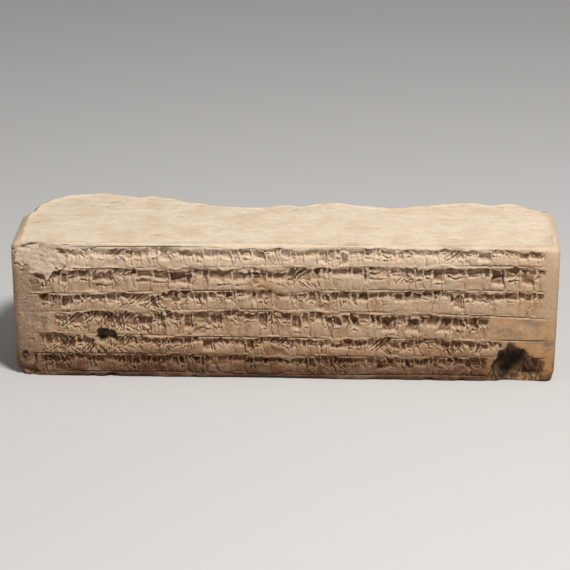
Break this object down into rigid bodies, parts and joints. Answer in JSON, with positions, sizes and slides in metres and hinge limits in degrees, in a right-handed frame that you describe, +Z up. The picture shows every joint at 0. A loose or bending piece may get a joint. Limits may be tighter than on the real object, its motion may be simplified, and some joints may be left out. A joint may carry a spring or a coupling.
{
  "type": "inscribed brick",
  "caption": "Ancient fired-clay building brick with rows of pressed strokes between ruled lines on its narrow face, worn arrises, chips and a rough broken back.",
  "frame": {"origin": "middle of the bounding box's underside, on the surface that the brick lies on", "axes": "+X along the brick's length, to the right as one reads the inscribed face; -Y out of the inscribed face, so the break is on the +Y side; +Z up, from the underside to the upper bed"},
  "size_m": [0.3662, 0.1118, 0.095],
  "materials": {
    "fired_clay": "matt unglazed fired clay, pale buff on the upper bed and browner down the inscribed face, dusty, with fine sand and dark soil in the deepest strokes and chips"
  },
  "bodies": {
    "root": {"brick": "fired_clay"}
  },
  "joints": []
}
